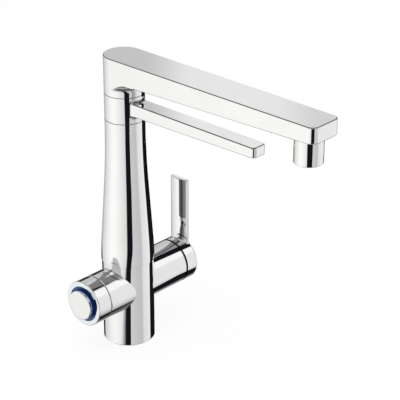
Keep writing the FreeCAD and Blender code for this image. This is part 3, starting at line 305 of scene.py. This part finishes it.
# Black flag below and beside the camera: height, then the bearings in degrees where it starts to show,
# is full, and ends on the right.
FLAG_ROWS = [
    (0.35, -48.6, -46.6, -13),
    (0.05, -48.6, -46.6, -15.5),
    (-0.06, -46.6, -43.6, -20),
    (-0.16, -48.6, -45.6, -24),
    (-0.24, -53.6, -48.6, -30),
    (-0.29, -60, -52, -32.5),
    (-0.36, -76, -57, -36),
    (-0.42, -92, -62, -40),
    (-0.60, -110, -80, -51),
]
FLAG_COVER = [0.0, 1.0, 1.0]
FLAG_COLUMNS = len(FLAG_COVER)
FLAG_DISTANCE = 0.70

# Black flags to the right of the tap: their distance and their outlines in x and z.
SIDE_FLAG_Y = 0.365
LOW_SIDE_FLAG = [
    (0.045, -0.38),
    (0.262, -0.38),
    (0.262, -0.250),
    (0.188, -0.235),
    (0.188, 0.13),
    (-0.18, 0.13),
    (-0.18, -0.235),
    (0.045, -0.235),
]
HIGH_SIDE_FLAG = [(0.015, 0.30), (0.188, 0.30), (0.188, 0.68), (0.015, 0.68)]

# Upright cards beside the tap: low and high edge, then x, y and level of each column.
SHADES = {
    "lever_shade": (0.083, 0.20, [
        (-0.0195, 0.0285, 0.12),
        (-0.0080, 0.0285, 0.12),
        (-0.0042, 0.0285, 0.02),
        (0.0012, 0.0285, 0.09),
        (0.0068, 0.0285, 0.20),
        (0.0198, 0.0285, 0.26),
    ]),
    "column_shade": (0.083, 0.20, [(-0.0195, 0.0278, 0.004), (0.0198, 0.0278, 0.004)]),
    "side_shade": (0.13, 0.30, [(-0.18, SIDE_FLAG_Y, 0.30), (0.188, SIDE_FLAG_Y, 0.30)]),
    "outlet_shade_right": (0.212, 0.252, [(0.2080, 0.0237, 0.12), (0.2335, 0.0237, 0.24)]),
    "outlet_shade_left": (0.212, 0.252, [(0.1834, 0.0116, 0.02), (0.1773, 0.0034, 0.02)]),
}

# Grain of the flags and cards, tones of the black cloth, and how much a card's tone varies
STAGE_GRAIN = 30.0
CLOTH_TONES = [(0.3, (0.006, 0.006, 0.009)), (0.7, (0.009, 0.009, 0.013))]
CARD_VARIES = (0.95, 1.05)


def stage_black(name, cover=None):
    """Black cloth of a studio flag; the cover attribute thins it out towards an edge."""
    material, g = new_material(name)
    shader = g.add("ShaderNodeEmission")
    g.link(g.ramp(g.noise(STAGE_GRAIN), CLOTH_TONES), shader.inputs["Color"])
    if cover:
        share = g.add("ShaderNodeAttribute", attribute_name=cover).outputs["Fac"]
        shader = g.blend(share, g.add("ShaderNodeBsdfTransparent"), shader)
    g.surface(shader)
    return material


def only_in_reflections(panel):
    """Keeps a stage panel out of the camera's sight and away from light and shadow."""
    panel.visible_camera = False
    panel.visible_diffuse = False
    panel.visible_shadow = False


def make_flags():
    """Black studio flags beside the camera and to the right, seen only in polished metal."""
    corners, faces = [], []
    for z, *bearings in FLAG_ROWS:
        for angle in map(math.radians, bearings):
            corners.append((FLAG_DISTANCE * math.cos(angle), FLAG_DISTANCE * math.sin(angle), z))
    for row in range(len(FLAG_ROWS) - 1):
        for column in range(FLAG_COLUMNS - 1):
            first = FLAG_COLUMNS * row + column
            below = first + FLAG_COLUMNS
            faces.append((first, first + 1, below + 1, below))
    front = stage_panel("front_flag", corners, faces, stage_black("front_flag", "cover"))
    cover = front.data.attributes.new("cover", "FLOAT", "POINT")
    cover.data.foreach_set("value", FLAG_COVER * len(FLAG_ROWS))
    only_in_reflections(front)
    cloth = stage_black("black_flag")
    outlines = {
        "low_side_flag": [(x, SIDE_FLAG_Y, z) for x, z in LOW_SIDE_FLAG],
        "high_side_flag": [(x, SIDE_FLAG_Y, z) for x, z in HIGH_SIDE_FLAG],
    }
    for name, outline in outlines.items():
        only_in_reflections(stage_panel(name, outline, [tuple(range(len(outline)))], cloth))


def stage_grey():
    """Graded grey card; the level attribute gives its tone."""
    material, g = new_material("grey_card")
    level = g.add("ShaderNodeAttribute", attribute_name="level").outputs["Fac"]
    card = g.add("ShaderNodeEmission")
    grain = g.fade(g.noise(STAGE_GRAIN), *GRAIN_SPAN, *CARD_VARIES)
    g.link(g.math("MULTIPLY", level, grain), card.inputs["Strength"])
    g.surface(card)
    return material


def make_shades():
    """Grey and black cards that stand beside the tap, seen only in polished metal."""
    card = stage_grey()
    for name, (low, high, columns) in SHADES.items():
        corners = [(x, y, z) for x, y, level in columns for z in (low, high)]
        faces = [(2 * i, 2 * i + 2, 2 * i + 3, 2 * i + 1) for i in range(len(columns) - 1)]
        shade = stage_panel(name, corners, faces, card)
        level = shade.data.attributes.new("level", "FLOAT", "POINT")
        level.data.foreach_set("value", [column[2] for column in columns for _ in (low, high)])
        only_in_reflections(shade)


# Soft lamp overhead: place, the point that it faces, width and power
LAMP_PLACE = Vector((0.3, -0.5, 1.6))
LAMP_TARGET = Vector((0.05, 0.0, 0.1))
LAMP_SIZE = 1.2
LAMP_POWER = 9.0


def make_light():
    """Large soft lamp overhead, out of the metal's sight."""
    data = bpy.data.lights.new("soft_top", "AREA")
    data.shape = "DISK"
    data.size = LAMP_SIZE
    data.energy = LAMP_POWER
    lamp = bpy.data.objects.new("soft_top", data)
    lamp.location = LAMP_PLACE
    aim = LAMP_TARGET - LAMP_PLACE
    lamp.rotation_euler = aim.to_track_quat("-Z", "Y").to_euler()
    lamp.visible_glossy = False
    scene.collection.objects.link(lamp)


# Chrome: tones and roughness of its wiping marks, their scale and detail, and the painted shade in seams
CHROME_TONES = [(0.35, (0.885, 0.885, 0.885)), (0.65, (0.91, 0.91, 0.91))]
CHROME_ROUGHNESS = (0.008, 0.028)
SMEAR_SPAN = (0.35, 0.75)
SMEAR_SCALE = 34.0
SMEAR_DETAIL = 6.0
SEAM_REACH = 0.0012
SEAM_SAMPLES = 8
SEAM_OPENNESS = (0.5, 0.93)
SEAM_PAINTED_SHADE = 0.9
PAINTED_SHADE_COLOUR = (0.05, 0.05, 0.052, 1.0)


def chrome(name, marks=None):
    """Mirror chrome with faint wiping marks in its gloss and painted shade in its seams.

    A marks function paints light and shade into the tone where one piece differs from the rest.
    """
    material, g = new_material(name)
    shader = g.add("ShaderNodeBsdfPrincipled")
    shader.inputs["Metallic"].default_value = 1.0
    place = g.add("ShaderNodeTexCoord").outputs["Object"]
    smears = g.noise(SMEAR_SCALE, place, SMEAR_DETAIL)
    tone = g.ramp(smears, CHROME_TONES)
    # Painted shade: ambient occlusion darkens the base colour in seams and crevices
    seams = g.add("ShaderNodeAmbientOcclusion", samples=SEAM_SAMPLES)
    seams.inputs["Distance"].default_value = SEAM_REACH
    painted_shade = g.fade(seams.outputs["AO"], *SEAM_OPENNESS, SEAM_PAINTED_SHADE, 0.0)
    if marks:
        tone, painted_shade = marks(g, place, tone, painted_shade)
    g.link(g.mix(painted_shade, tone, PAINTED_SHADE_COLOUR), shader.inputs["Base Color"])
    g.link(g.fade(smears, *SMEAR_SPAN, *CHROME_ROUGHNESS), shader.inputs["Roughness"])
    g.surface(shader)
    return material


# Height of the axis that both barrels, the lever's hub and the knob share
KNOB_AXIS_Z = 0.0575

# Rounding at a spout's top, by how far its normal points up: where the painted dark reflection fades in and
# out
EDGE_FADE_IN = (0.30, 0.50)
EDGE_FADE_OUT = (0.93, 0.985)
EDGE_PAINTED_REFLECTION = 0.75

# Places along the axis, in metres: the barrel's rim that faces the lever's hub and the sleeve's rim that
# faces the barrel, each with its painted shade, the outer end of the sleeve and the button's side
LEVER_RIM = (0.0583, 0.0587)
LEVER_RIM_PAINTED_SHADE = 0.9
KNOB_RIM = (-0.0450, -0.0446)
KNOB_RIM_PAINTED_SHADE = 0.8
SLEEVE_END = (-0.0600, -0.0595)
BUTTON_SIDE = (-0.0644, -0.0610)

# Light from the ring: radii over which it fades on the sleeve's end, its weakest share there, its share
# on the button's side, and both colours
SLEEVE_GLOW_RADII = (0.0174, 0.0218)
SLEEVE_GLOW_LEAST = 0.1
SLEEVE_GLOW = (0.80, 0.92, 0.96, 1.0)
BUTTON_GLOW_SHARE = 0.88
BUTTON_GLOW = (0.05, 0.14, 0.40, 1.0)


def ring_radius(g, place):
    """Distance from the knob's axis, and place along it."""
    x, y, z = g.split(place)
    z = g.math("SUBTRACT", z, KNOB_AXIS_Z)
    square = g.math("MULTIPLY_ADD", x, x, g.math("MULTIPLY", z, z))
    return g.math("SQRT", square), y


def spout_edges(g, place, tone, painted_shade):
    """Darkens the narrow rounding around the top of a spout with a painted dark reflection."""
    upward = g.split(g.add("ShaderNodeTexCoord").outputs["Normal"])["Z"]
    # Painted reflection: a dark band in the base colour where the normal points partly up
    band = g.math("MULTIPLY", g.fade(upward, *EDGE_FADE_IN), g.fade(upward, *EDGE_FADE_OUT, 1.0, 0.0))
    return tone, g.math("MAXIMUM", painted_shade, g.math("MULTIPLY", band, EDGE_PAINTED_REFLECTION))


def barrel_seam(g, place, tone, painted_shade):
    """Painted shade on the rim that faces the lever's hub."""
    along = ring_radius(g, place)[1]
    # Painted shade in the seam between the barrel and the lever's hub
    return tone, g.math("MAXIMUM", painted_shade, g.fade(along, *LEVER_RIM, 0.0, LEVER_RIM_PAINTED_SHADE))


def lit_end(g, place, tone, painted_shade):
    """Pale blue light of the ring painted on the end of the knob's sleeve, and painted shade on the rim
    that faces the barrel.
    """
    radius, along = ring_radius(g, place)
    end = g.fade(along, *SLEEVE_END, 1.0, 0.0)
    glow = g.math("MULTIPLY", end, g.fade(radius, *SLEEVE_GLOW_RADII, 1.0, SLEEVE_GLOW_LEAST))
    tone = g.mix(glow, tone, SLEEVE_GLOW)
    # Painted shade in the seam between the sleeve and the barrel
    return tone, g.math("MAXIMUM", painted_shade, g.fade(along, *KNOB_RIM, 0.0, KNOB_RIM_PAINTED_SHADE))


def lit_side(g, place, tone, painted_shade):
    """Deep blue light on the button's side, where it dips into the ring."""
    along = ring_radius(g, place)[1]
    return g.mix(g.fade(along, *BUTTON_SIDE, 0.0, BUTTON_GLOW_SHARE), tone, BUTTON_GLOW), painted_shade


# Chrome pieces with painted shade, painted reflection and painted light of their own
MARKED_CHROME = {
    "main_spout": spout_edges,
    "filter_spout": spout_edges,
    "valve_body": barrel_seam,
    "knob_sleeve": lit_end,
    "push_button": lit_side,
}

# Plain finishes: darker and lighter colour, scale of the grain, range of roughness, metallic share and bump
PLAIN_FINISHES = {
    "brass": ((0.62, 0.43, 0.15), (0.75, 0.56, 0.24), 90.0, (0.18, 0.3), 1.0, 0.1),
    "steel": ((0.5, 0.51, 0.52), (0.62, 0.62, 0.63), 120.0, (0.2, 0.34), 1.0, 0.1),
    "rubber": ((0.012, 0.012, 0.013), (0.03, 0.03, 0.032), 300.0, (0.6, 0.8), 0.0, 0.3),
    "glide_plastic": ((0.05, 0.05, 0.055), (0.08, 0.08, 0.085), 250.0, (0.45, 0.6), 0.0, 0.2),
    "cartridge_plastic": ((0.7, 0.7, 0.67), (0.8, 0.8, 0.77), 200.0, (0.4, 0.55), 0.0, 0.2),
    "disc_ceramic": ((0.82, 0.81, 0.78), (0.88, 0.87, 0.85), 150.0, (0.12, 0.22), 0.0, 0.0),
    "outlet_plastic": ((0.58, 0.6, 0.6), (0.68, 0.7, 0.7), 220.0, (0.35, 0.5), 0.0, 0.2),
    "knob_plastic": ((0.02, 0.02, 0.024), (0.04, 0.04, 0.045), 260.0, (0.45, 0.6), 0.0, 0.3),
    "plug_plastic": ((0.36, 0.37, 0.39), (0.42, 0.43, 0.45), 220.0, (0.2, 0.3), 0.0, 0.1),
    "board": ((0.008, 0.07, 0.03), (0.014, 0.11, 0.05), 180.0, (0.25, 0.4), 0.0, 0.2),
    "led": ((0.6, 0.75, 0.95), (0.75, 0.86, 1.0), 200.0, (0.15, 0.25), 0.0, 0.0),
}
DARK_STOP, LIGHT_STOP = 0.35, 0.65
GRAIN_DETAIL = 5.0
BUMP_DEPTH = 0.0002


def plain(name, dark, light, scale, rough, metallic, bump):
    """Surface whose colour and gloss vary a little over it, with a fine grain."""
    material, g = new_material(name)
    shader = g.add("ShaderNodeBsdfPrincipled")
    shader.inputs["Metallic"].default_value = metallic
    place = g.add("ShaderNodeTexCoord").outputs["Object"]
    grain = g.noise(scale, place, GRAIN_DETAIL)
    g.link(g.ramp(grain, [(DARK_STOP, dark), (LIGHT_STOP, light)]), shader.inputs["Base Color"])
    g.link(g.fade(grain, *GRAIN_SPAN, *rough), shader.inputs["Roughness"])
    if bump:
        relief = g.add("ShaderNodeBump")
        relief.inputs["Strength"].default_value = bump
        relief.inputs["Distance"].default_value = BUMP_DEPTH
        g.link(grain, relief.inputs["Height"])
        g.link(relief.outputs[0], shader.inputs["Normal"])
    g.surface(shader)
    return material


# Light ring: radii of its inner and outer edge, glow from one to the other, the colour under it,
# how unevenly it glows, its gloss and its grain
RING_RADII = (0.0162, 0.0174)
RING_GLOW = [(0.0, (0.006, 0.030, 0.13)), (0.5, (0.012, 0.075, 0.26)), (1.0, (0.05, 0.16, 0.34))]
RING_TONES = [(0.3, (0.004, 0.012, 0.05)), (0.7, (0.006, 0.02, 0.07))]
RING_GLOW_SPAN = (0.35, 0.65)
RING_GLOW_VARIES = (0.45, 1.0)
RING_ROUGHNESS = (0.10, 0.18)
RING_GRAIN = 70.0


def blue_light():
    """Deep blue light guide, paler towards its outer edge, with uneven light behind it."""
    material, g = new_material("blue_light")
    shader = g.add("ShaderNodeBsdfPrincipled")
    place = g.add("ShaderNodeTexCoord").outputs["Object"]
    grain = g.noise(RING_GRAIN, place)
    across = g.fade(ring_radius(g, place)[0], *RING_RADII)
    g.link(g.ramp(across, RING_GLOW), shader.inputs["Emission Color"])
    g.link(g.fade(grain, *RING_GLOW_SPAN, *RING_GLOW_VARIES), shader.inputs["Emission Strength"])
    g.link(g.ramp(grain, RING_TONES), shader.inputs["Base Color"])
    g.link(g.fade(grain, *GRAIN_SPAN, *RING_ROUGHNESS), shader.inputs["Roughness"])
    g.surface(shader)
    return material


def dress():
    """Gives every CAD node the material of its slot, and some chrome pieces painted shade, reflection and
    light of their own.
    """
    slots = {name: plain(name, *finish) for name, finish in PLAIN_FINISHES.items()}
    slots["chrome"] = chrome("chrome")
    slots["blue_light"] = blue_light()
    for entry in frame["record"]["subparts"]:
        mesh = nodes[entry["node"]].data
        mesh.materials.clear()
        mesh.materials.append(slots[entry["material_slot"]])
    for name, marks in MARKED_CHROME.items():
        nodes[name].data.materials[0] = chrome("chrome_" + name, marks)


def make_spring():
    """The button's return spring, a copy with a mesh of its own that rides with the filter knob unit in
    place of the CAD node.
    """
    spring = bpy.data.objects.new("return_spring", nodes["button_spring"].data.copy())
    scene.collection.objects.link(spring)
    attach(spring, "filter_knob_unit")
    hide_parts("button_spring")
    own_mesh(spring)


make_camera()
make_world()
make_floor()
make_flags()
make_shades()
make_light()
dress()
make_spring()
scene.view_settings.view_transform = "Standard"
